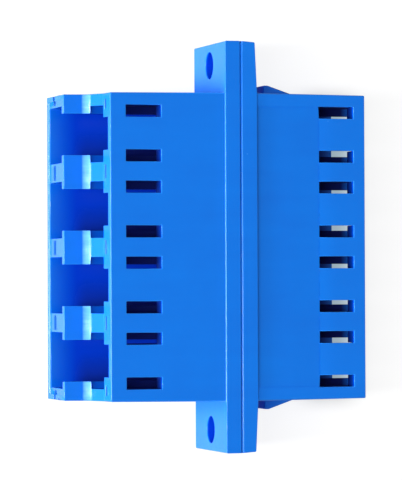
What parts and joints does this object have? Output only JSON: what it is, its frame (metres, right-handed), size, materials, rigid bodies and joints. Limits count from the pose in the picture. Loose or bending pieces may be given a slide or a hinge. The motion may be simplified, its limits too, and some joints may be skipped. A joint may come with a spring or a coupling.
{
  "type": "lc fibre adapter",
  "caption": "Flanged fibre optic adapter: a row of latching plug sockets front and rear, moulded in two welded blue halves, with ceramic split sleeves that line the ferrules up.",
  "frame": {"origin": "middle of the two screw holes of the flange, on the weld seam between the two housing halves", "axes": "+X along the row of ports and the flange, +Y along the plugs from the stepped front to the flat rear, +Z to the side with the latch windows"},
  "size_m": [0.0342, 0.0252, 0.0094],
  "materials": {
    "housing_blue": "moulded satin gloss, fine mould texture",
    "sleeve_white": "ground and polished zirconia"
  },
  "bodies": {
    "root": {"front_housing": "housing_blue", "rear_housing": "housing_blue", "split_sleeve_1": "sleeve_white", "split_sleeve_2": "sleeve_white", "split_sleeve_3": "sleeve_white", "split_sleeve_4": "sleeve_white"}
  },
  "joints": []
}
